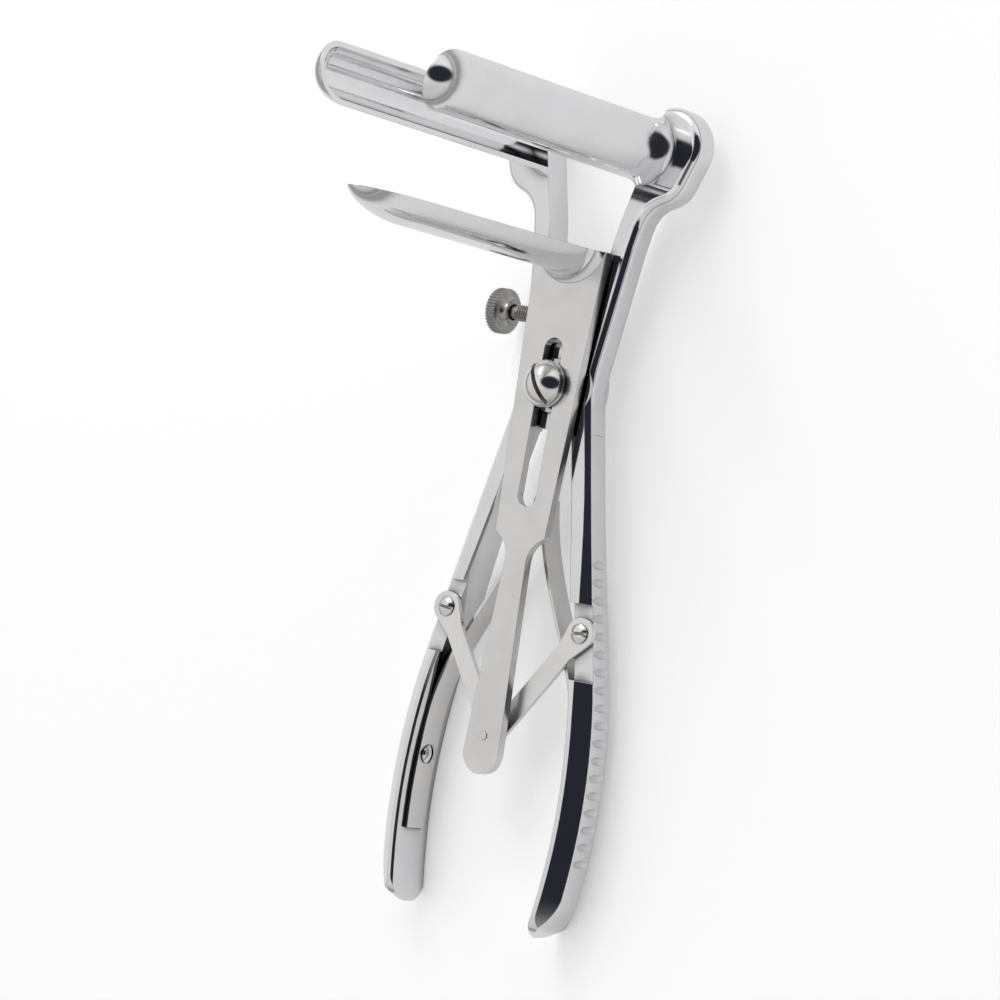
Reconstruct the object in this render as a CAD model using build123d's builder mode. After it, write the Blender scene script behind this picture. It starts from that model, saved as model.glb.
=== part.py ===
"""Three-bladed speculum with self-holding handles, lying on its back.

X runs across the handles, Y from the grips to the heads, Z up along the blades. The grips' backs
lie on Z = 0. All places in the front view are counted from the pivot.
"""

import math
import os

from build123d import *

# Levers, front view from the pivot
HEAD_X = 20.0
HEAD_Y = 60.0
HEAD_R = 9.4
LOBE_X = 19.0
LOBE_Y = 53.5
LOBE_R = 8.0
NECK_X = 12.5
NECK_Y = 35.0
THROAT_X = 16.0
THROAT_Y = 53.0
THROAT_R = 8.0
ARM_BEND_R = 30.0
WAIST_X = 7.6
SHANK_TILT = 12.6
BOW_START_Y = -67.0
BOW_R = 150.0
GRIP_REACH = 130.0
LEVER_W = 5.6

# Levers, heights
LEVER_T = 7.8
GRIP_DEPTH = 13.0
CROWN = 6.9
BEVEL = 0.5
GRIP_BEVEL = 0.6
GRIP_LAND = 1.0
ARM_FACET = 1.3
ARM_FACET_DROP = 1.0
WIDEN_FROM_Y = -20.0
WIDEN_TO_Y = -84.0
GRIP_STATIONS = 11
HEAD_EDGE = 2.2
TIP_R = 17.0
TIP_FROM_END = 14.5

# Lap joint
JOINT_R = 10.6
LAP_GAP = 0.1
TURN_GAP = 0.15

# Finger notches
NOTCHES = 18
NOTCH_PITCH = 4.14
NOTCH_FROM_END = 19.42
NOTCH_LENGTH = 5.6
NOTCH_WIDTH = 2.1
NOTCH_DEPTH = 0.42

# Blades
CLOSE_ANGLE = 14.6
BLADE_Y = 60.3
BLADE_R = 7.95
BLADE_NARROWING = 0.25
TIP_LENGTH = 8.0
RIM_OFFSET = 2.1
BLADE_WALL = 1.3
BLADE_REACH = 97.0
MEETING_GAP = 0.3
FLARE_R = 9.0
FLARE_H = 4.0
LOW_FLARE_R = 10.6
LOW_BLADE_Y = 33.0
LOW_BLADE_R = 8.3
LOW_TIP_LENGTH = 20.0

# Sliding plate
PLATE_T = 2.2
PLATE_TOP = 33.0
PLATE_TOP_W = 21.0
SHOULDER_W = 14.9
PLATE_SHOULDER_Y = -36.5
NECK_W = 6.0
PLATE_NECK_Y = -39.5
NECK_FILLET = 6.0
PLATE_CORNER_R = 1.5
FOOT_R = 5.3
PLATE_END = 94.6
SLOT_W = 5.4
SLOT_TOP = 11.3
SLOT_END = -29.8
PLATE_GAP = 0.8

# Links
EYE_X = 20.0
EYE_Y = -57.0
EYE_R = 3.8
LINK_W = 4.8
LINK_SWELL = 6.0
LINK_T = 1.2
LINK_GAP = 0.1
RIVET_Y = -85.3
RIVET_D = 2.0
RIVET_PROUD = 0.2
PAD_TOP = 7.0
PAD_BOTTOM = 11.0

# Screws and pivot
FIT = 0.05
PIVOT_D = 5.0
HEAD_D = 10.8
HEAD_SIDE = 1.0
HEAD_DOME = 3.0
WASHER_D = 11.4
WASHER_T = 1.2
DRIVER_SLOT = 1.1
LINK_SCREW_D = 2.6
LINK_SCREW_HEAD_D = 4.6
LINK_SCREW_DOME = 0.8
SPRING_SCREW_D = 2.0
SPRING_SCREW_HEAD_D = 4.6
SPRING_SCREW_DOME = 1.0
SMALL_SLOT = 0.7
LINK_SCREW_SIDE = 0.3
LINK_SCREW_REACH = 5.0
SPRING_SCREW_SIDE = 0.4
SPRING_SCREW_REACH = 3.0
PIVOT_SLOT_TURN = 30.0
RIGHT_SLOT_TURN = 95.0
LEFT_SLOT_TURN = 83.0
BOSS_D = 13.0

# Thumb screw
THUMB_Y = 16.5
THUMB_D = 4.0
KNOB_D = 11.2
KNOB_RIM = 2.6
KNOB_FROM_ARM = 8.6
KNOB_DISH = 2.0
KNOB_HUB_D = 5.6
KNURLS = 40
KNURL_DEPTH = 0.35
KNOB_LIP = 0.8
THUMB_TIP_R = 1.8
THUMB_TIP_GAP = 0.3

# Leaf springs
SPRING_T = 0.8
SPRING_W = 6.6
SPRING_GAP = 0.1
SPRING_FOOT_FROM_END = 18.0
SPRING_SCREW_FROM_END = 36.4
SPRING_LIFT_FROM_END = 50.0
SPRING_MID_X = 12.6
SPRING_MID_Y = -57.5
SPRING_END_X = 1.0
SPRING_END_Y = -27.0

# Worked out from the sizes above
PIVOT_Y = (GRIP_REACH - HEAD_Y - HEAD_R) / 2
TIP_Y = TIP_FROM_END - GRIP_REACH
NOTCH_LAST_Y = NOTCH_FROM_END - GRIP_REACH
SPRING_FOOT_Y = SPRING_FOOT_FROM_END - GRIP_REACH
SPRING_SCREW_Y = SPRING_SCREW_FROM_END - GRIP_REACH
SPRING_LIFT_Y = SPRING_LIFT_FROM_END - GRIP_REACH
LEVER_MID = (GRIP_DEPTH + 2.8) / 2
LEVER_BACK = LEVER_MID - LEVER_T / 2
LEVER_FRONT = LEVER_MID + LEVER_T / 2
PLATE_BACK = LEVER_FRONT + PLATE_GAP
PLATE_FRONT = PLATE_BACK + PLATE_T
LEFT_PAD = PLATE_BACK - 2 * LINK_GAP - LINK_T
RIGHT_PAD = LEFT_PAD - LINK_GAP - LINK_T
FRONT = Plane((0, PIVOT_Y, 0))
turn = math.radians(CLOSE_ANGLE)
blade_x = BLADE_Y * math.sin(turn) + (MEETING_GAP / 2 - RIM_OFFSET) * math.cos(turn)
blade_y = BLADE_Y * math.cos(turn) - (MEETING_GAP / 2 - RIM_OFFSET) * math.sin(turn)
LAP = LEVER_BACK + (LEVER_T - LAP_GAP) / 2
BOSS_TOP = PLATE_BACK - LINK_GAP
THUMB_Z = LEVER_MID
BIG = 4 * GRIP_REACH


def across(y):
    """The plane that cuts straight across the levers at y, with X to the right and Z up."""
    return Plane(origin=(0, PIVOT_Y + y, 0), x_dir=(1, 0, 0), z_dir=(0, -1, 0))


def closed_plane(height):
    """The right lever's own front view as it stands with the blades shut."""
    turn = math.radians(CLOSE_ANGLE)
    return Plane(origin=(0, PIVOT_Y, height), x_dir=(math.cos(turn), -math.sin(turn), 0), z_dir=(0, 0, 1))


def spine_x(y):
    """The middle of the right lever below the waist: a straight shank, then a bow."""
    tilt = math.radians(SHANK_TILT)
    if y > BOW_START_Y:
        return WAIST_X - y * math.tan(tilt)
    bow_x = WAIST_X - BOW_START_Y * math.tan(tilt) - BOW_R * math.cos(tilt)
    bow_y = BOW_START_Y - BOW_R * math.sin(tilt)
    return bow_x + math.sqrt(BOW_R**2 - (y - bow_y) ** 2)


def widening(y):
    """0 at the waist, 1 at the grip, with a smooth change between."""
    share = min(1.0, max(0.0, (WIDEN_FROM_Y - y) / (WIDEN_FROM_Y - WIDEN_TO_Y)))
    return share * share * (3 - 2 * share)


def inner_x(y):
    return spine_x(y) - LEVER_W / 2


def outer_x(y):
    return spine_x(y) + LEVER_W / 2


def middle_z(y):
    return LEVER_MID + (GRIP_DEPTH / 2 - LEVER_MID) * widening(y)


def lever_head():
    """Head, neck and upper arm of the right lever, trimmed where the two heads meet."""
    with BuildPart() as blank:
        with BuildSketch(FRONT.offset(LEVER_BACK)) as front_view:
            with BuildLine() as arm_line:
                FilletPolyline(
                    (THROAT_X, THROAT_Y),
                    (NECK_X, NECK_Y),
                    (WAIST_X, 0),
                    (spine_x(-JOINT_R), -JOINT_R),
                    radius=ARM_BEND_R,
                )
            trace(line_width=LEVER_W)
        with BuildSketch(FRONT.offset(LEVER_BACK)) as disc_view:
            with Locations((HEAD_X, HEAD_Y)):
                Circle(HEAD_R)
            with Locations((LOBE_X, LOBE_Y)):
                Circle(LOBE_R)
            make_hull()
            add(front_view.sketch_local)
            corners = disc_view.vertices().filter_by(lambda v: v.X > THROAT_X and v.Y < LOBE_Y)
            fillet(corners, THROAT_R)
        extrude(amount=LEVER_T)
        with BuildSketch(closed_plane(LEVER_BACK)) as other_side:
            with Locations((MEETING_GAP / 2, 0)):
                Rectangle(BIG, BIG, align=(Align.MAX, Align.CENTER))
        extrude(amount=LEVER_T, mode=Mode.SUBTRACT)
        faces = blank.faces().filter_by(Axis.Z)
        rim = faces.edges().filter_by(
            lambda e: e.center().X > THROAT_X + FIT and e.center().Y > PIVOT_Y + NECK_Y
        )
        fillet(rim, HEAD_EDGE)
    return blank.part


def lever_grip():
    """The faceted lower half of the right lever, with its row of finger notches."""
    with BuildPart() as grip:
        for i in range(GRIP_STATIONS + 1):
            y = -i * (GRIP_REACH + LEVER_W) / GRIP_STATIONS
            wide = widening(y)
            depth = LEVER_T + (GRIP_DEPTH + 2 * FIT - LEVER_T) * wide
            crown = LEVER_T - 2 * ARM_FACET_DROP + (CROWN - LEVER_T + 2 * ARM_FACET_DROP) * wide
            bevel = BEVEL + (GRIP_BEVEL - BEVEL) * wide
            facet = outer_x(y) - ARM_FACET - (LEVER_W - ARM_FACET - GRIP_BEVEL - GRIP_LAND) * wide
            half = [
                (inner_x(y), depth / 2 - bevel),
                (inner_x(y) + bevel, depth / 2),
                (facet, depth / 2),
                (outer_x(y), crown / 2),
            ]
            front = [(x, middle_z(y) + z) for x, z in half]
            back = [(x, middle_z(y) - z) for x, z in reversed(half)]
            with BuildSketch(across(y)) as section:
                Polygon(*front, *back, align=None)
        loft()
        with BuildSketch(Plane(origin=(0, PIVOT_Y, 0), x_dir=(0, 1, 0), z_dir=(1, 0, 0))) as side_view:
            with Locations((-GRIP_REACH, GRIP_DEPTH / 2)):
                RectangleRounded(
                    2 * GRIP_REACH, GRIP_DEPTH, GRIP_DEPTH / 2 - FIT, align=(Align.MIN, Align.CENTER)
                )
        extrude(amount=BIG, mode=Mode.INTERSECT)
        with BuildSketch(FRONT) as tip_view:
            with Locations((outer_x(TIP_Y) - TIP_R, TIP_Y)):
                Circle(TIP_R)
            with Locations((0, TIP_Y)):
                Rectangle(BIG, BIG, align=(Align.CENTER, Align.MIN))
        extrude(amount=GRIP_DEPTH, mode=Mode.INTERSECT)
    notch_ys = [NOTCH_LAST_Y + i * NOTCH_PITCH for i in reversed(range(NOTCHES))]
    radius = (NOTCH_WIDTH**2 / 4 + NOTCH_DEPTH**2) / (2 * NOTCH_DEPTH)
    with BuildPart() as barrel:
        with BuildSketch(Plane.XZ) as barrel_half:
            with BuildLine() as barrel_line:
                ThreePointArc(
                    (radius - NOTCH_DEPTH, -NOTCH_LENGTH / 2),
                    (radius, 0),
                    (radius - NOTCH_DEPTH, NOTCH_LENGTH / 2),
                )
                Polyline(
                    (radius - NOTCH_DEPTH, NOTCH_LENGTH / 2),
                    (0, NOTCH_LENGTH / 2),
                    (0, -NOTCH_LENGTH / 2),
                    (radius - NOTCH_DEPTH, -NOTCH_LENGTH / 2),
                )
            make_face()
        revolve(axis=Axis.Z)
    reach = radius - NOTCH_DEPTH
    cutters = [Pos(outer_x(y) + reach, PIVOT_Y + y, middle_z(y)) * barrel.part for y in notch_ys]
    return grip.part - cutters


def lever(pad_height, lap_base):
    """The right lever, its lap cut away over one half of the joint and its link pad milled."""
    with BuildPart() as body:
        add(lever_head())
        add(lever_grip())
        with BuildSketch(FRONT.offset(LEVER_BACK)) as joint_disc:
            Circle(JOINT_R)
        extrude(amount=LEVER_T)
        with BuildSketch(FRONT.offset(lap_base)) as lap:
            Circle(JOINT_R + TURN_GAP)
        extrude(amount=LEVER_T, mode=Mode.SUBTRACT)
        with BuildSketch(FRONT.offset(pad_height)) as pad:
            with Locations((0, EYE_Y + PAD_TOP)):
                Rectangle(BIG, PAD_TOP + PAD_BOTTOM, align=(Align.CENTER, Align.MAX))
        extrude(amount=GRIP_DEPTH, mode=Mode.SUBTRACT)
        with BuildSketch(FRONT) as pivot_hole:
            Circle(PIVOT_D / 2 + FIT)
        extrude(amount=GRIP_DEPTH, mode=Mode.SUBTRACT)
        with BuildSketch(FRONT.offset(pad_height)) as eye_hole:
            with Locations((EYE_X, EYE_Y)):
                Circle(LINK_SCREW_D / 2)
        extrude(amount=-LINK_SCREW_REACH, mode=Mode.SUBTRACT)
        with BuildSketch(spring_plane(0)) as spring_hole:
            Circle(SPRING_SCREW_D / 2)
        extrude(amount=-SPRING_SCREW_REACH, mode=Mode.SUBTRACT)
    return body.part


def spring_plane(height):
    """On the right grip's inner face at the spring screw, facing the other grip."""
    tilt = math.asin((SPRING_SCREW_Y - BOW_START_Y) / BOW_R + math.sin(math.radians(SHANK_TILT)))
    return Plane(
        origin=(inner_x(SPRING_SCREW_Y), PIVOT_Y + SPRING_SCREW_Y, GRIP_DEPTH / 2),
        x_dir=(0, 0, 1),
        z_dir=(-math.cos(tilt), -math.sin(tilt), 0),
    ).offset(height)


def spring():
    """The right leaf spring: flat on the grip's inner face, then bowed away to the middle."""
    with BuildPart() as leaf:
        with BuildSketch(FRONT.offset(GRIP_DEPTH / 2 - SPRING_W / 2)) as leaf_view:
            with BuildLine() as leaf_line:
                ys = [SPRING_FOOT_Y + i * (SPRING_LIFT_Y - SPRING_FOOT_Y) / 3 for i in range(4)]
                seat = [(inner_x(y) - SPRING_T / 2 - SPRING_GAP, y) for y in ys]
                Spline(*seat, (SPRING_MID_X, SPRING_MID_Y), (SPRING_END_X, SPRING_END_Y))
            trace(line_width=SPRING_T)
        extrude(amount=SPRING_W)
        with BuildSketch(spring_plane(0)) as screw_hole:
            Circle(SPRING_SCREW_D / 2)
        extrude(amount=SPRING_W, mode=Mode.SUBTRACT)
    return leaf.part


def dome_screw(shank_d, head_d, side, dome, slot, length):
    """A screw on Z, its head's seat at 0 and a driver slot across the dome."""
    with BuildPart() as screw:
        with BuildSketch(Plane.XZ) as outline:
            with BuildLine() as outline_line:
                Polyline(
                    (0, side + dome),
                    (0, -length),
                    (shank_d / 2, -length),
                    (shank_d / 2, 0),
                    (head_d / 2, 0),
                    (head_d / 2, side),
                )
                RadiusArc((head_d / 2, side), (0, side + dome), -(head_d**2 / 4 + dome**2) / (2 * dome))
            make_face()
        revolve(axis=Axis.Z)
        with BuildSketch(Plane.XY.offset(side + dome)) as driver:
            Rectangle(slot, head_d)
        extrude(amount=-(dome + side / 3), mode=Mode.SUBTRACT)
    return screw.part


def trough(reach, radius, tip_length, flare_radius):
    """A shallow half-round blade along Z with a flared foot and a rounded tip, its hollow facing -X."""
    tip_radius = radius - BLADE_NARROWING
    tip_base = reach - tip_length
    with BuildPart() as blade:
        with BuildSketch(Plane(origin=(0, 0, 0), x_dir=(0, -1, 0), z_dir=(-1, 0, 0))) as wall:
            with BuildLine() as wall_line:
                Polyline(
                    (tip_radius, tip_base),
                    (tip_radius - BLADE_WALL, tip_base),
                    (radius - BLADE_WALL, FLARE_H),
                    (radius - BLADE_WALL, 0),
                    (flare_radius, 0),
                )
                TangentArc((radius, FLARE_H), (flare_radius, 0), tangent=(0, -1))
                Line((radius, FLARE_H), (tip_radius, tip_base))
            make_face()
        revolve(axis=Axis.Z, revolution_arc=180)
        with BuildSketch(Plane.XY) as beyond_rim:
            with Locations((RIM_OFFSET, 0)):
                Rectangle(BIG, BIG, align=(Align.MAX, Align.CENTER))
        extrude(amount=reach, mode=Mode.SUBTRACT)
    with BuildPart() as dome:
        Sphere(tip_radius, arc_size1=0, align=(Align.CENTER, Align.CENTER, Align.MIN))
        Sphere(tip_radius - BLADE_WALL, mode=Mode.SUBTRACT)
        with BuildSketch(Plane.XY) as dome_rim:
            with Locations((RIM_OFFSET, 0)):
                Rectangle(BIG, BIG, align=(Align.MAX, Align.CENTER))
        extrude(amount=reach, mode=Mode.SUBTRACT)
    tip = scale(dome.part, by=(1, 1, tip_length / tip_radius))
    return blade.part + Pos(0, 0, tip_base) * tip


def link():
    """The right link in its front view: a bar that swells into its eye."""
    run = math.hypot(EYE_X, EYE_Y - RIVET_Y)
    swell = 1 - LINK_SWELL / run
    with BuildPart() as bar:
        with BuildSketch(FRONT) as link_view:
            with Locations((EYE_X, EYE_Y)):
                Circle(EYE_R)
            with Locations((EYE_X * swell, RIVET_Y + (EYE_Y - RIVET_Y) * swell)):
                Circle(LINK_W / 2)
            make_hull()
            with BuildLine() as link_line:
                Line((EYE_X, EYE_Y), (0, RIVET_Y))
            trace(line_width=LINK_W)
            with Locations((0, RIVET_Y)):
                Circle(LINK_W / 2)
            with Locations((EYE_X, EYE_Y)):
                Circle(LINK_SCREW_D / 2 + FIT, mode=Mode.SUBTRACT)
            with Locations((0, RIVET_Y)):
                Circle(RIVET_D / 2 + FIT, mode=Mode.SUBTRACT)
        extrude(amount=LINK_T)
    return bar.part


os.makedirs("parts", exist_ok=True)


def save(solid, name):
    solid.label = name
    export_step(solid, f"parts/{name}.step")


# Levers: the right one holds the front half of the joint, the left one the back half
with BuildPart() as right_lever:
    add(lever(RIGHT_PAD, LAP + LAP_GAP - LEVER_T))
    with BuildSketch(FRONT.offset(LEVER_FRONT)) as boss:
        Circle(BOSS_D / 2)
        Circle(PIVOT_D / 2 + FIT, mode=Mode.SUBTRACT)
    extrude(amount=BOSS_TOP - LEVER_FRONT)
save(right_lever.part, "right_lever")

with BuildPart() as left_lever:
    add(mirror(lever(LEFT_PAD, LAP), about=Plane.YZ))
    with BuildSketch(Plane(origin=(0, PIVOT_Y + THUMB_Y, THUMB_Z), z_dir=(-1, 0, 0))) as thumb_hole:
        Circle(THUMB_D / 2 + FIT)
    extrude(amount=HEAD_X, mode=Mode.SUBTRACT)
save(left_lever.part, "left_lever")

# Blades
upper = trough(BLADE_REACH - LEVER_FRONT, BLADE_R, TIP_LENGTH, FLARE_R)
right_blade = Pos(blade_x, PIVOT_Y + blade_y, LEVER_FRONT) * Rot(0, 0, -CLOSE_ANGLE) * upper
save(right_blade, "right_blade")
left_blade = mirror(right_blade, about=Plane.YZ)
save(left_blade, "left_blade")
low = trough(BLADE_REACH - PLATE_FRONT, LOW_BLADE_R, LOW_TIP_LENGTH, LOW_FLARE_R)
lower_blade = Pos(0, PIVOT_Y + LOW_BLADE_Y + RIM_OFFSET, PLATE_FRONT) * Rot(0, 0, -90) * low
save(lower_blade, "lower_blade")

# Sliding plate
with BuildPart() as slide_plate:
    with BuildSketch(FRONT.offset(PLATE_BACK)) as plate_view:
        with BuildLine() as plate_edge:
            Polyline(
                (0, PLATE_TOP),
                (PLATE_TOP_W / 2, PLATE_TOP),
                (SHOULDER_W / 2, PLATE_SHOULDER_Y),
                (NECK_W / 2, PLATE_NECK_Y),
                (FOOT_R, FOOT_R - PLATE_END),
                (0, FOOT_R - PLATE_END),
                close=True,
            )
        make_face()
        corners = plate_view.vertices().sort_by(Axis.Y)
        fillet(corners.filter_by(lambda v: abs(v.X - NECK_W / 2) < FIT), NECK_FILLET)
        corners = plate_view.vertices()
        fillet(corners.filter_by(lambda v: abs(v.X - SHOULDER_W / 2) < FIT), PLATE_CORNER_R)
        mirror(about=Plane.YZ)
        with Locations((0, FOOT_R - PLATE_END)):
            Circle(FOOT_R)
        with Locations((0, (SLOT_TOP + SLOT_END) / 2)):
            SlotOverall(SLOT_TOP - SLOT_END, SLOT_W, rotation=90, mode=Mode.SUBTRACT)
        with Locations((0, RIVET_Y)):
            Circle(RIVET_D / 2, mode=Mode.SUBTRACT)
    extrude(amount=PLATE_T)
save(slide_plate.part, "slide_plate")

with BuildPart() as link_rivet:
    with BuildSketch(FRONT.offset(PLATE_BACK)) as rivet_view:
        with Locations((0, RIVET_Y)):
            Circle(RIVET_D / 2)
    extrude(amount=PLATE_T + RIVET_PROUD)
save(link_rivet.part, "link_rivet")

# Pivot: the washer lies on the plate and the screw draws it against a shoulder
washer_base = PLATE_FRONT + LINK_GAP
with BuildPart() as pivot_washer:
    with BuildSketch(FRONT.offset(washer_base)) as washer_view:
        Circle(WASHER_D / 2)
        Circle(PIVOT_D / 2, mode=Mode.SUBTRACT)
    extrude(amount=WASHER_T)
save(pivot_washer.part, "pivot_washer")

head_seat = washer_base + WASHER_T
pivot = dome_screw(PIVOT_D, HEAD_D, HEAD_SIDE, HEAD_DOME, DRIVER_SLOT, head_seat - LEVER_BACK)
pivot_screw = Pos(0, PIVOT_Y, head_seat) * Rot(0, 0, PIVOT_SLOT_TURN) * pivot
save(pivot_screw, "pivot_screw")

# Links and their screws
right_link = Pos(0, 0, RIGHT_PAD + LINK_GAP) * link()
save(right_link, "right_link")
left_link = Pos(0, 0, LEFT_PAD + LINK_GAP) * mirror(link(), about=Plane.YZ)
save(left_link, "left_link")
eye_length = LINK_T + 2 * LINK_GAP + LINK_SCREW_REACH
eye_screw = dome_screw(
    LINK_SCREW_D, LINK_SCREW_HEAD_D, LINK_SCREW_SIDE, LINK_SCREW_DOME, SMALL_SLOT, eye_length
)
link_top = LINK_T + 2 * LINK_GAP
right_link_screw = Pos(EYE_X, PIVOT_Y + EYE_Y, RIGHT_PAD + link_top) * Rot(0, 0, RIGHT_SLOT_TURN) * eye_screw
save(right_link_screw, "right_link_screw")
left_link_screw = Pos(-EYE_X, PIVOT_Y + EYE_Y, LEFT_PAD + link_top) * Rot(0, 0, LEFT_SLOT_TURN) * eye_screw
save(left_link_screw, "left_link_screw")

# Leaf springs and their screws
right_spring = spring()
save(right_spring, "right_spring")
left_spring = mirror(right_spring, about=Plane.YZ)
save(left_spring, "left_spring")
foot_screw = dome_screw(
    SPRING_SCREW_D,
    SPRING_SCREW_HEAD_D,
    SPRING_SCREW_SIDE,
    SPRING_SCREW_DOME,
    SMALL_SLOT,
    SPRING_SCREW_REACH + SPRING_T + 2 * SPRING_GAP,
)
right_spring_screw = spring_plane(SPRING_T + 2 * SPRING_GAP).location * foot_screw
save(right_spring_screw, "right_spring_screw")
left_spring_screw = mirror(right_spring_screw, about=Plane.YZ)
save(left_spring_screw, "left_spring_screw")

# Thumb screw and its knob, on an axis across the left arm
arm_face = NECK_X - (NECK_Y - THUMB_Y) * (NECK_X - WAIST_X) / NECK_Y
rod_tip = arm_face - LEVER_W / 2 - THUMB_TIP_GAP
knob_face = -arm_face - LEVER_W / 2 - KNOB_FROM_ARM
thumb_axis = Plane(origin=(rod_tip, PIVOT_Y + THUMB_Y, THUMB_Z), x_dir=(0, 1, 0), z_dir=(-1, 0, 0))
with BuildPart() as thumb_screw:
    with BuildSketch(thumb_axis) as rod_view:
        Circle(THUMB_D / 2)
    extrude(amount=rod_tip - knob_face + KNOB_RIM)
    tip_edge = thumb_screw.edges().sort_by(Axis.X)[-1]
    fillet(tip_edge, THUMB_TIP_R)
save(thumb_screw.part, "thumb_screw")

with BuildPart() as knob:
    with BuildSketch(Plane.XZ) as knob_half:
        with BuildLine() as knob_line:
            Polyline(
                (THUMB_D / 2, 0),
                (KNOB_D / 2, 0),
                (KNOB_D / 2, KNOB_RIM),
                (KNOB_D / 2 - KNOB_LIP, KNOB_RIM),
            )
            ThreePointArc(
                (KNOB_D / 2 - KNOB_LIP, KNOB_RIM),
                (KNOB_HUB_D / 2 + KNOB_LIP / 2, KNOB_RIM + KNOB_DISH / 3),
                (KNOB_HUB_D / 2, KNOB_RIM + KNOB_DISH),
            )
            Polyline(
                (KNOB_HUB_D / 2, KNOB_RIM + KNOB_DISH),
                (THUMB_D / 2, KNOB_RIM + KNOB_DISH),
                (THUMB_D / 2, 0),
            )
        make_face()
    revolve(axis=Axis.Z)
    with BuildSketch(Plane.XY) as knurl_view:
        with PolarLocations(KNOB_D / 2, KNURLS):
            Circle(KNURL_DEPTH)
    extrude(amount=KNOB_RIM, mode=Mode.SUBTRACT)
knob_back = Plane(
    origin=(knob_face - KNOB_RIM, PIVOT_Y + THUMB_Y, THUMB_Z), x_dir=(0, 1, 0), z_dir=(1, 0, 0)
)
thumb_knob = knob_back.location * knob.part
save(thumb_knob, "thumb_knob")
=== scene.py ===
"""Looks of a three-bladed speculum that lies on its back on a pale table.

The lengths are in metres. X runs across the handles, Y from the grips to the heads and Z up along
the blades, as in the solids.
"""

import math

import bmesh
import bpy
from mathutils import Matrix, Vector


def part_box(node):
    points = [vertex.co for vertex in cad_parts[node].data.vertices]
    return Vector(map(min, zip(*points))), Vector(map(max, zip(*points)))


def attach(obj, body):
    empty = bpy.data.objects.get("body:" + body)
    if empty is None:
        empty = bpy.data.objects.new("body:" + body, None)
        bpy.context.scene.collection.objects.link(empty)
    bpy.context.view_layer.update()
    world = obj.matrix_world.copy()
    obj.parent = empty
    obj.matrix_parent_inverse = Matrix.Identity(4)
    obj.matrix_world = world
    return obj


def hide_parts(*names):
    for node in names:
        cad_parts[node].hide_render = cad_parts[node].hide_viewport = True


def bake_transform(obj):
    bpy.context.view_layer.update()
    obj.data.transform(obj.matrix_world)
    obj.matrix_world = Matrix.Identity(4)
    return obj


MM = 0.001
PIVOT = Vector((0.0, 30.3, 14.8)) * MM

# Sockets of a Mix node that mixes colours
COLOR_A = 6
COLOR_B = 7
COLOR_OUT = 2

# Steel: noise cells per metre in X, Y and Z, and the reach, darkest and open level of the painted
# shade in recesses
ALONG_X = (260.0, 5000.0, 5000.0)
ALONG_Y = (5000.0, 260.0, 5000.0)
ALONG_Z = (5000.0, 5000.0, 200.0)
RECESS_SHADE = (1.2 * MM, 0.35, 0.85)
NOTCH_RECESS_SHADE = (3.0 * MM, 0.45, 0.96)
RECESS_SHADE_FLOOR = 0.12
HAZE_FROM = 0.35
HAZE_TO = 0.75
WIPE_SCALE = 70.0
GRAIN_HEIGHT = 0.02 * MM

# Thread of the thumb screw
THREAD_PITCH = 0.7 * MM
ROD_RADIUS = 2.0 * MM
THREAD_DEPTH = 0.35 * MM
THREAD_FROM_END = 6.2 * MM
THREAD_FOOT = 0.44 * THREAD_PITCH
THREAD_CREST = 0.06 * MM
THREAD_SINK = 0.05 * MM
THREAD_STEPS = 24
ROD_STEPS = 28
TIP_RUN = 1.8 * MM
TIP_STEPS = 6

# Leaf springs: X from the middle, Y down from the pivot and Z up from the table
LEAF_CUTS = 24
LEAF_CUT_FROM = 92.0 * MM
LEAF_CUT_PITCH = 3.0 * MM

# Table: its tone, its glow as seen directly, and its painted reflection: seen mirrored, it fades
# with distance and glows
TABLE_REACH = 3.0
TABLE_DROP = 0.05 * MM
TABLE_ROUGHNESS = 0.8
TABLE_TONE = (0.92, 0.92, 0.92, 1.0)
FADE_FROM = 0.14
FADE_TO = 0.45
FAR_TONE = 0.25
GLOW_SEEN = 0.37
GLOW_MIRRORED = 0.17

# Lamp
LAMP_PLACE = (-0.30, 0.95, 0.75)
LAMP_AIM = (0.0, 0.0, 0.03)
LAMP_SIZE = 0.6
LAMP_POWER = 3.0

# Light tent, with the dark opening round the camera
TENT_FLOOR = (0.50, 0.50, 0.51, 1.0)
TENT_TOP = (0.78, 0.78, 0.78, 1.0)
TENT_LEVELS = ((0.10, 0.28), (0.22, 0.60), (0.45, 0.72), (0.78, 0.66))
TENT_AT_GRIPS = 0.85
TENT_AT_HEADS = 1.35
BACKDROP = (0.96, 0.96, 0.96, 1.0)
OPENING_TONE = (0.020, 0.021, 0.029, 1.0)
OPENING_SHIFT_X = 0.0
OPENING_REACH_X = math.sin(math.radians(42.0))
OPENING_SHIFT_Y = math.sin(math.radians(7.0))
OPENING_REACH_Y = math.sin(math.radians(27.0))
OPENING_EDGE_FROM = 0.75
OPENING_EDGE_TO = 1.35
PAST_OPENING = 9.0

# Camera, fitted to the photograph
AZIMUTH = math.radians(38.0)
ELEVATION = math.radians(-0.121)
ROLL = math.radians(10.245)
DISTANCE = 770.8 * MM
FOCAL_PX = 3225.7
SHIFT_X = 46.97
SHIFT_Y = -115.89
FRAME_PX = 1000.0
SENSOR = 36.0

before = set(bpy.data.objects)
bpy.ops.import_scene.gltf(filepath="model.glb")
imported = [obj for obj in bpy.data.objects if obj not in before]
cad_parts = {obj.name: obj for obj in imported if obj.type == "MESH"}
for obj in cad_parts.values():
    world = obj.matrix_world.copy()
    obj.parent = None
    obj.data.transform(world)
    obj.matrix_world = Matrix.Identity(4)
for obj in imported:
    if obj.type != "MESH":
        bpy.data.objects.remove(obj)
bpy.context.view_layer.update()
scene = bpy.context.scene
scene.view_settings.view_transform = "Standard"


# Shader helpers


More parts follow.
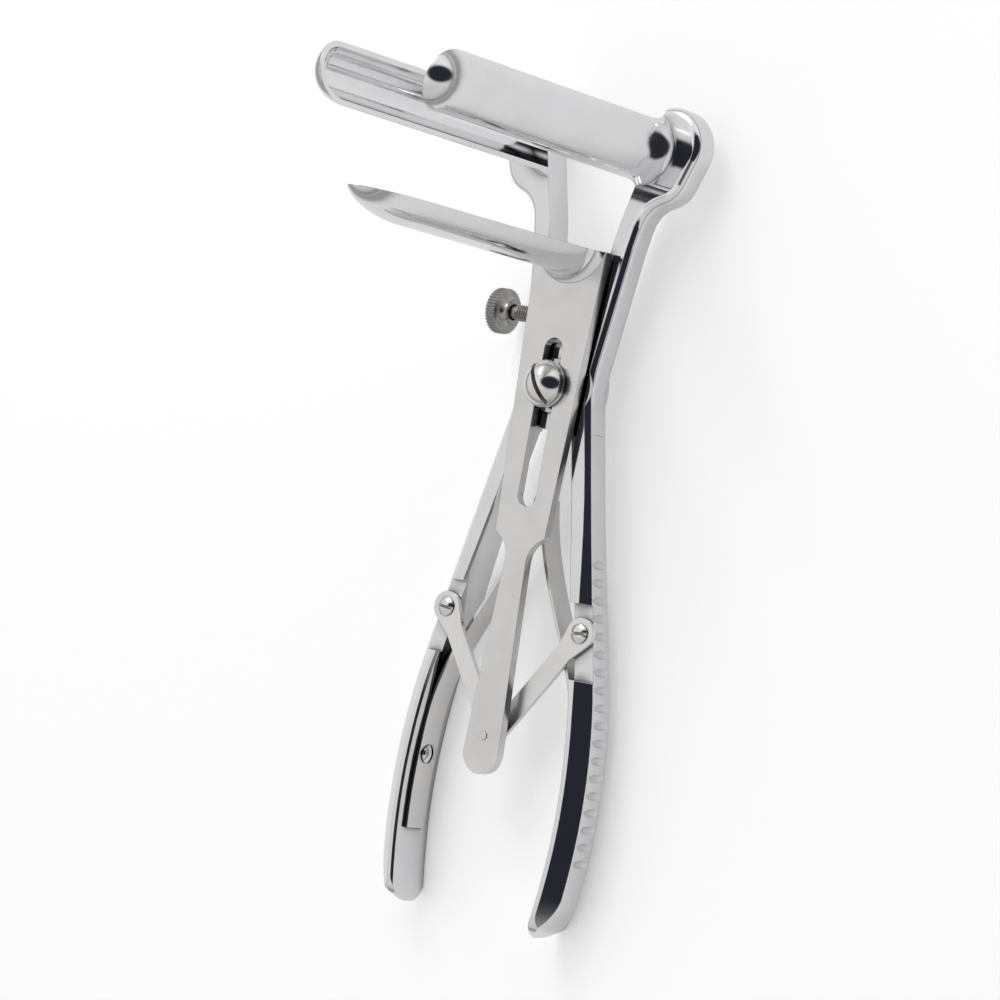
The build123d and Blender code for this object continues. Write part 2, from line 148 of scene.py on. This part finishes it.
def new_material(name):
    material = bpy.data.materials.new(name)
    material.use_nodes = True
    nodes = material.node_tree.nodes
    nodes.clear()
    output = nodes.new("ShaderNodeOutputMaterial")
    shader = nodes.new("ShaderNodeBsdfPrincipled")
    material.node_tree.links.new(shader.outputs["BSDF"], output.inputs["Surface"])
    return material, shader


def add_group(material, group, **values):
    node = material.node_tree.nodes.new("ShaderNodeGroup")
    node.node_tree = group
    for socket, value in values.items():
        node.inputs[socket.replace("_", " ")].default_value = value
    return node


def socket(group, name, in_out, kind, value=None):
    made = group.interface.new_socket(name=name, in_out=in_out, socket_type=kind)
    if value is not None:
        made.default_value = value


def metal_finish_and_recess_shade():
    """Fine lapping lines, faint wipe marks, painted shade in recesses (colour darkened by ambient
    occlusion) and rounded edges of a steel surface.
    """
    group = bpy.data.node_groups.new("steel_finish_and_recess_shade", "ShaderNodeTree")
    socket(group, "Tone", "INPUT", "NodeSocketColor", (0.8, 0.8, 0.8, 1.0))
    socket(group, "Shade", "INPUT", "NodeSocketColor", (0.6, 0.6, 0.6, 1.0))
    socket(group, "Gloss", "INPUT", "NodeSocketFloat", 0.1)
    socket(group, "Haze", "INPUT", "NodeSocketFloat", 0.1)
    socket(group, "Grain Direction", "INPUT", "NodeSocketVector", (300.0, 6000.0, 6000.0))
    socket(group, "Grain Depth", "INPUT", "NodeSocketFloat", 0.1)
    socket(group, "Edge Radius", "INPUT", "NodeSocketFloat", 0.0002)
    socket(group, "Recess Reach", "INPUT", "NodeSocketFloat", 0.0012)
    socket(group, "Recess Dark", "INPUT", "NodeSocketFloat", 0.35)
    socket(group, "Recess Open", "INPUT", "NodeSocketFloat", 0.85)
    socket(group, "Color", "OUTPUT", "NodeSocketColor")
    socket(group, "Roughness", "OUTPUT", "NodeSocketFloat")
    socket(group, "Normal", "OUTPUT", "NodeSocketVector")
    nodes = group.nodes
    link = group.links.new
    given = nodes.new("NodeGroupInput")
    result = nodes.new("NodeGroupOutput")
    place = nodes.new("ShaderNodeTexCoord")

    stretch = nodes.new("ShaderNodeVectorMath")
    stretch.operation = "MULTIPLY"
    link(place.outputs["Object"], stretch.inputs[0])
    link(given.outputs["Grain Direction"], stretch.inputs[1])
    grain = nodes.new("ShaderNodeTexNoise")
    grain.inputs["Scale"].default_value = 1.0
    grain.inputs["Detail"].default_value = 3.0
    grain.inputs["Roughness"].default_value = 0.6
    link(stretch.outputs["Vector"], grain.inputs["Vector"])

    wipe = nodes.new("ShaderNodeTexNoise")
    wipe.inputs["Scale"].default_value = WIPE_SCALE
    wipe.inputs["Detail"].default_value = 4.0
    wipe.inputs["Distortion"].default_value = 0.6
    link(place.outputs["Object"], wipe.inputs["Vector"])

    haze = nodes.new("ShaderNodeMapRange")
    haze.inputs["From Min"].default_value = HAZE_FROM
    haze.inputs["From Max"].default_value = HAZE_TO
    link(wipe.outputs["Fac"], haze.inputs["Value"])

    tone = nodes.new("ShaderNodeMix")
    tone.data_type = "RGBA"
    link(haze.outputs["Result"], tone.inputs["Factor"])
    link(given.outputs["Tone"], tone.inputs[COLOR_A])
    link(given.outputs["Shade"], tone.inputs[COLOR_B])

    # Painted shade: the colour is darkened where ambient occlusion finds a recess, such as slots,
    # notches, knurls and crevices
    recess_shade = nodes.new("ShaderNodeAmbientOcclusion")
    recess_shade.samples = 8
    link(given.outputs["Recess Reach"], recess_shade.inputs["Distance"])
    depth = nodes.new("ShaderNodeMapRange")
    link(given.outputs["Recess Dark"], depth.inputs["From Min"])
    link(given.outputs["Recess Open"], depth.inputs["From Max"])
    depth.inputs["To Min"].default_value = RECESS_SHADE_FLOOR
    depth.inputs["To Max"].default_value = 1.0
    link(recess_shade.outputs["AO"], depth.inputs["Value"])
    painted_recess_shade = nodes.new("ShaderNodeVectorMath")
    painted_recess_shade.operation = "SCALE"
    link(tone.outputs[COLOR_OUT], painted_recess_shade.inputs[0])
    link(depth.outputs["Result"], painted_recess_shade.inputs["Scale"])
    link(painted_recess_shade.outputs["Vector"], result.inputs["Color"])

    spread = nodes.new("ShaderNodeMath")
    spread.operation = "MULTIPLY"
    link(haze.outputs["Result"], spread.inputs[0])
    link(given.outputs["Haze"], spread.inputs[1])
    rough = nodes.new("ShaderNodeMath")
    rough.operation = "ADD"
    link(spread.outputs[0], rough.inputs[0])
    link(given.outputs["Gloss"], rough.inputs[1])
    link(rough.outputs[0], result.inputs["Roughness"])

    edge = nodes.new("ShaderNodeBevel")
    edge.samples = 6
    link(given.outputs["Edge Radius"], edge.inputs["Radius"])
    relief = nodes.new("ShaderNodeBump")
    relief.inputs["Distance"].default_value = GRAIN_HEIGHT
    link(given.outputs["Grain Depth"], relief.inputs["Strength"])
    link(grain.outputs["Fac"], relief.inputs["Height"])
    link(edge.outputs["Normal"], relief.inputs["Normal"])
    link(relief.outputs["Normal"], result.inputs["Normal"])
    return group


finish_and_recess_shade = metal_finish_and_recess_shade()


# Each steel gets painted shade in its recesses; the last argument gives the reach, darkest and open
# level of that painted shade
def steel(name, tone, shade, gloss, haze, direction, depth, edge, recess_shade=RECESS_SHADE):
    material, shader = new_material(name)
    node = add_group(
        material,
        finish_and_recess_shade,
        Tone=(*tone, 1.0),
        Shade=(*shade, 1.0),
        Gloss=gloss,
        Haze=haze,
        Grain_Direction=direction,
        Grain_Depth=depth,
        Edge_Radius=edge,
        Recess_Reach=recess_shade[0],
        Recess_Dark=recess_shade[1],
        Recess_Open=recess_shade[2],
    )
    link = material.node_tree.links.new
    link(node.outputs["Color"], shader.inputs["Base Color"])
    link(node.outputs["Roughness"], shader.inputs["Roughness"])
    link(node.outputs["Normal"], shader.inputs["Normal"])
    shader.inputs["Metallic"].default_value = 1.0
    return material


mirror_steel = steel(
    "mirror_steel",
    tone=(0.86, 0.86, 0.87),
    shade=(0.80, 0.80, 0.81),
    gloss=0.045,
    haze=0.05,
    direction=ALONG_Y,
    depth=0.04,
    edge=0.22 * MM,
    recess_shade=NOTCH_RECESS_SHADE,
)
blade_steel = steel(
    "blade_steel",
    tone=(0.85, 0.85, 0.86),
    shade=(0.79, 0.79, 0.80),
    gloss=0.07,
    haze=0.08,
    direction=ALONG_Z,
    depth=0.06,
    edge=0.25 * MM,
)
satin_steel = steel(
    "satin_steel",
    tone=(0.80, 0.79, 0.78),
    shade=(0.73, 0.72, 0.71),
    gloss=0.20,
    haze=0.10,
    direction=ALONG_Y,
    depth=0.25,
    edge=0.15 * MM,
)
link_steel = steel(
    "link_steel",
    tone=(0.87, 0.86, 0.85),
    shade=(0.80, 0.79, 0.78),
    gloss=0.24,
    haze=0.10,
    direction=ALONG_X,
    depth=0.25,
    edge=0.1 * MM,
)
spring_steel = steel(
    "spring_steel",
    tone=(0.80, 0.79, 0.77),
    shade=(0.72, 0.71, 0.69),
    gloss=0.17,
    haze=0.10,
    direction=ALONG_Y,
    depth=0.20,
    edge=0.1 * MM,
)
screw_steel = steel(
    "screw_steel",
    tone=(0.82, 0.81, 0.80),
    shade=(0.74, 0.73, 0.72),
    gloss=0.09,
    haze=0.08,
    direction=ALONG_Y,
    depth=0.10,
    edge=0.12 * MM,
)
knurl_steel = steel(
    "knurl_steel",
    tone=(0.45, 0.44, 0.43),
    shade=(0.36, 0.35, 0.34),
    gloss=0.24,
    haze=0.12,
    direction=ALONG_X,
    depth=0.35,
    edge=0.1 * MM,
)

FINISHES = {
    "left_lever": mirror_steel,
    "right_lever": mirror_steel,
    "left_blade": blade_steel,
    "right_blade": blade_steel,
    "lower_blade": blade_steel,
    "slide_plate": satin_steel,
    "pivot_screw": screw_steel,
    "pivot_washer": screw_steel,
    "left_link": link_steel,
    "right_link": link_steel,
    "left_link_screw": screw_steel,
    "right_link_screw": screw_steel,
    "link_rivet": satin_steel,
    "thumb_screw": knurl_steel,
    "thumb_knob": knurl_steel,
    "left_spring": spring_steel,
    "right_spring": spring_steel,
    "left_spring_screw": screw_steel,
    "right_spring_screw": screw_steel,
}
for name, material in FINISHES.items():
    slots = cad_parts[name].data.materials
    slots.clear()
    slots.append(material)


# New pieces


def placed(name, mesh, material):
    piece = bpy.data.objects.new(name, mesh)
    scene.collection.objects.link(piece)
    piece.data.materials.clear()
    piece.data.materials.append(material)
    return piece


def threaded_rod():
    """The thumb screw's rod: a core with a rounded tip, and a V-thread wound around it."""
    low, high = (Vector(corner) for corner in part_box("thumb_screw"))
    axis_y = (low.y + high.y) / 2
    axis_z = (low.z + high.z) / 2
    core = ROD_RADIUS - THREAD_DEPTH
    shape = bmesh.new()
    ends = [(low.x, 0.0), (low.x, core), (high.x - TIP_RUN, core)]
    for step in range(1, TIP_STEPS + 1):
        turn = math.pi / 2 * step / TIP_STEPS
        ends.append((high.x - TIP_RUN * (1 - math.sin(turn)), core * math.cos(turn)))
    verts = [shape.verts.new((x, axis_y, axis_z + r)) for x, r in ends]
    for first, second in zip(verts, verts[1:]):
        shape.edges.new((first, second))
    bmesh.ops.spin(
        shape,
        geom=shape.verts[:] + shape.edges[:],
        cent=(0.0, axis_y, axis_z),
        axis=(1.0, 0.0, 0.0),
        angle=2 * math.pi,
        steps=ROD_STEPS,
        use_merge=True,
    )
    bmesh.ops.remove_doubles(shape, verts=shape.verts, dist=1e-7)

    start = low.x + THREAD_FROM_END
    turns = int((high.x - TIP_RUN - start) / THREAD_PITCH) - 1
    profile = [
        (start - THREAD_FOOT, core - THREAD_SINK),
        (start - THREAD_CREST, ROD_RADIUS),
        (start + THREAD_CREST, ROD_RADIUS),
        (start + THREAD_FOOT, core - THREAD_SINK),
    ]
    ridge = bmesh.new()
    corners = [ridge.verts.new((x, axis_y, axis_z + r)) for x, r in profile]
    face = ridge.faces.new(corners)
    bmesh.ops.spin(
        ridge,
        geom=[face] + ridge.edges[:] + ridge.verts[:],
        cent=(0.0, axis_y, axis_z),
        axis=(1.0, 0.0, 0.0),
        dvec=(THREAD_PITCH / THREAD_STEPS, 0.0, 0.0),
        angle=2 * math.pi * turns,
        steps=THREAD_STEPS * turns,
        use_merge=False,
    )
    bmesh.ops.remove_doubles(ridge, verts=ridge.verts, dist=1e-8)
    bmesh.ops.recalc_face_normals(ridge, faces=ridge.faces)
    bmesh.ops.recalc_face_normals(shape, faces=shape.faces)
    wound = bpy.data.meshes.new("wound_thread")
    ridge.to_mesh(wound)
    shape.from_mesh(wound)
    mesh = bpy.data.meshes.new("threaded_rod")
    shape.to_mesh(mesh)
    bpy.data.meshes.remove(wound)
    ridge.free()
    shape.free()
    piece = placed("threaded_rod", mesh, knurl_steel)
    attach(piece, "thumb")
    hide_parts("thumb_screw")
    return piece


threaded_rod()


def leaf(side):
    """A copy of the leaf spring, cut across at even steps along Y, that takes the place of the
    spring.
    """
    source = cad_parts[f"{side}_spring"]
    shape = bmesh.new()
    shape.from_mesh(source.data)
    bmesh.ops.remove_doubles(shape, verts=shape.verts, dist=1e-6)
    for cut in range(LEAF_CUTS):
        y = PIVOT.y - LEAF_CUT_FROM + LEAF_CUT_PITCH * cut
        bmesh.ops.bisect_plane(
            shape,
            geom=shape.verts[:] + shape.edges[:] + shape.faces[:],
            plane_co=(0.0, y, 0.0),
            plane_no=(0.0, 1.0, 0.0),
        )
    mesh = bpy.data.meshes.new(f"{side}_leaf")
    shape.to_mesh(mesh)
    shape.free()
    piece = placed(f"{side}_leaf", mesh, spring_steel)
    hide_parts(f"{side}_spring")
    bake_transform(piece)


leaf("left")
leaf("right")


# Table, light and camera


def table():
    shape = bmesh.new()
    bmesh.ops.create_grid(shape, x_segments=2, y_segments=2, size=TABLE_REACH)
    mesh = bpy.data.meshes.new("table")
    shape.to_mesh(mesh)
    shape.free()
    material, shader = new_material("pale_table")
    shader.inputs["Roughness"].default_value = TABLE_ROUGHNESS
    shader.inputs["Emission Color"].default_value = (1.0, 1.0, 1.0, 1.0)
    path = material.node_tree.nodes.new("ShaderNodeLightPath")
    place = material.node_tree.nodes.new("ShaderNodeTexCoord")
    reach = material.node_tree.nodes.new("ShaderNodeVectorMath")
    reach.operation = "LENGTH"
    # Painted reflection: in glossy rays only, the table's tone darkens with distance from the middle
    # and the table glows a little
    fade = material.node_tree.nodes.new("ShaderNodeMapRange")
    fade.interpolation_type = "SMOOTHSTEP"
    fade.inputs["From Min"].default_value = FADE_FROM
    fade.inputs["From Max"].default_value = FADE_TO
    fade.inputs["To Min"].default_value = 1.0
    fade.inputs["To Max"].default_value = FAR_TONE
    tint = material.node_tree.nodes.new("ShaderNodeMix")
    tint.data_type = "RGBA"
    tint.blend_type = "MULTIPLY"
    tint.inputs[COLOR_A].default_value = TABLE_TONE
    mirrored = material.node_tree.nodes.new("ShaderNodeMath")
    mirrored.operation = "MULTIPLY"
    mirrored.inputs[1].default_value = GLOW_MIRRORED
    lift = material.node_tree.nodes.new("ShaderNodeMath")
    lift.operation = "MULTIPLY_ADD"
    lift.inputs[1].default_value = GLOW_SEEN
    link = material.node_tree.links.new
    link(place.outputs["Object"], reach.inputs[0])
    link(reach.outputs["Value"], fade.inputs["Value"])
    link(fade.outputs["Result"], tint.inputs[COLOR_B])
    link(path.outputs["Is Glossy Ray"], tint.inputs["Factor"])
    link(tint.outputs[COLOR_OUT], shader.inputs["Base Color"])
    link(path.outputs["Is Glossy Ray"], mirrored.inputs[0])
    link(path.outputs["Is Camera Ray"], lift.inputs[0])
    link(mirrored.outputs[0], lift.inputs[2])
    link(lift.outputs[0], shader.inputs["Emission Strength"])
    piece = placed("table", mesh, material)
    piece.location.z = -TABLE_DROP


table()


def softbox(name, place, aim, width, height, power):
    light = bpy.data.lights.new(name, "AREA")
    light.shape = "RECTANGLE"
    light.size = width
    light.size_y = height
    light.energy = power
    lamp = bpy.data.objects.new(name, light)
    scene.collection.objects.link(lamp)
    lamp.location = place
    lamp.rotation_euler = (Vector(aim) - Vector(place)).to_track_quat("-Z", "Y").to_euler()


softbox("back_box", LAMP_PLACE, LAMP_AIM, LAMP_SIZE, LAMP_SIZE, LAMP_POWER)


def tent():
    """A pale light tent, with the dark opening that the instrument is photographed through."""
    world = bpy.data.worlds.new("light_tent")
    scene.world = world
    world.use_nodes = True
    nodes = world.node_tree.nodes
    nodes.clear()
    link = world.node_tree.links.new
    output = nodes.new("ShaderNodeOutputWorld")
    way = nodes.new("ShaderNodeTexCoord")
    split = nodes.new("ShaderNodeSeparateXYZ")
    link(way.outputs["Generated"], split.inputs[0])

    height = nodes.new("ShaderNodeValToRGB")
    link(split.outputs["Z"], height.inputs["Fac"])
    stops = height.color_ramp
    stops.elements[0].position = 0.0
    stops.elements[0].color = TENT_FLOOR
    stops.elements[1].position = 1.0
    stops.elements[1].color = TENT_TOP
    for position, level in TENT_LEVELS:
        stop = stops.elements.new(position)
        stop.color = (level, level, level, 1.0)

    side = nodes.new("ShaderNodeMapRange")
    side.inputs["From Min"].default_value = -1.0
    side.inputs["From Max"].default_value = 1.0
    side.inputs["To Min"].default_value = TENT_AT_GRIPS
    side.inputs["To Max"].default_value = TENT_AT_HEADS
    link(split.outputs["Y"], side.inputs["Value"])

    def toward(direction, shift, reach):
        along = nodes.new("ShaderNodeVectorMath")
        along.operation = "DOT_PRODUCT"
        along.inputs[1].default_value = direction
        link(way.outputs["Generated"], along.inputs[0])
        share = nodes.new("ShaderNodeMath")
        share.operation = "MULTIPLY_ADD"
        share.inputs[1].default_value = 1 / reach
        share.inputs[2].default_value = -shift / reach
        link(along.outputs["Value"], share.inputs[0])
        squared = nodes.new("ShaderNodeMath")
        squared.operation = "POWER"
        squared.inputs[1].default_value = 2.0
        link(share.outputs[0], squared.inputs[0])
        return squared.outputs[0]

    sideways = (math.cos(AZIMUTH), 0.0, -math.sin(AZIMUTH))
    upward = (0.0, 1.0, 0.0)
    span = nodes.new("ShaderNodeMath")
    link(toward(sideways, OPENING_SHIFT_X, OPENING_REACH_X), span.inputs[0])
    link(toward(upward, OPENING_SHIFT_Y, OPENING_REACH_Y), span.inputs[1])
    facing = nodes.new("ShaderNodeVectorMath")
    facing.operation = "DOT_PRODUCT"
    facing.inputs[1].default_value = (math.sin(AZIMUTH), 0.0, math.cos(AZIMUTH))
    link(way.outputs["Generated"], facing.inputs[0])
    behind = nodes.new("ShaderNodeMath")
    behind.operation = "LESS_THAN"
    behind.inputs[1].default_value = 0.0
    link(facing.outputs["Value"], behind.inputs[0])
    away = nodes.new("ShaderNodeMath")
    away.operation = "MULTIPLY_ADD"
    away.inputs[1].default_value = PAST_OPENING
    link(behind.outputs[0], away.inputs[0])
    link(span.outputs[0], away.inputs[2])
    opening = nodes.new("ShaderNodeMapRange")
    opening.interpolation_type = "SMOOTHSTEP"
    opening.inputs["From Min"].default_value = OPENING_EDGE_FROM
    opening.inputs["From Max"].default_value = OPENING_EDGE_TO
    opening.inputs["To Min"].default_value = 0.0
    opening.inputs["To Max"].default_value = 1.0
    link(away.outputs[0], opening.inputs["Value"])

    cloth = nodes.new("ShaderNodeMix")
    cloth.data_type = "RGBA"
    cloth.inputs[COLOR_A].default_value = OPENING_TONE
    link(opening.outputs["Result"], cloth.inputs["Factor"])
    link(height.outputs["Color"], cloth.inputs[COLOR_B])
    room = nodes.new("ShaderNodeBackground")
    link(cloth.outputs[COLOR_OUT], room.inputs["Color"])
    link(side.outputs["Result"], room.inputs["Strength"])
    plain = nodes.new("ShaderNodeBackground")
    plain.inputs["Color"].default_value = BACKDROP
    plain.inputs["Strength"].default_value = 1.0
    path = nodes.new("ShaderNodeLightPath")
    mix = nodes.new("ShaderNodeMixShader")
    link(path.outputs["Is Camera Ray"], mix.inputs["Fac"])
    link(room.outputs[0], mix.inputs[1])
    link(plain.outputs[0], mix.inputs[2])
    link(mix.outputs[0], output.inputs["Surface"])


tent()


def photo_camera():
    """Stands where the photograph was taken, looking down on the instrument from its right."""
    away = Vector(
        (
            math.sin(AZIMUTH) * math.cos(ELEVATION),
            math.sin(ELEVATION),
            math.cos(AZIMUTH) * math.cos(ELEVATION),
        )
    )
    across = Vector((0.0, 1.0, 0.0)).cross(away).normalized()
    up = away.cross(across)
    right = across * math.cos(ROLL) + up * math.sin(ROLL)
    top = up * math.cos(ROLL) - across * math.sin(ROLL)
    per_pixel = DISTANCE / FOCAL_PX
    eye = away * DISTANCE - right * (SHIFT_X * per_pixel) + top * (SHIFT_Y * per_pixel)
    lens = bpy.data.cameras.new("photo_camera")
    lens.sensor_width = SENSOR
    lens.lens = FOCAL_PX * SENSOR / FRAME_PX
    lens.clip_start = 0.01
    lens.clip_end = 10.0
    camera = bpy.data.objects.new("photo_camera", lens)
    scene.collection.objects.link(camera)
    camera.matrix_world = Matrix(
        (
            (right.x, top.x, away.x, eye.x + PIVOT.x),
            (right.y, top.y, away.y, eye.y + PIVOT.y),
            (right.z, top.z, away.z, eye.z + PIVOT.z),
            (0.0, 0.0, 0.0, 1.0),
        )
    )
    scene.camera = camera


photo_camera()
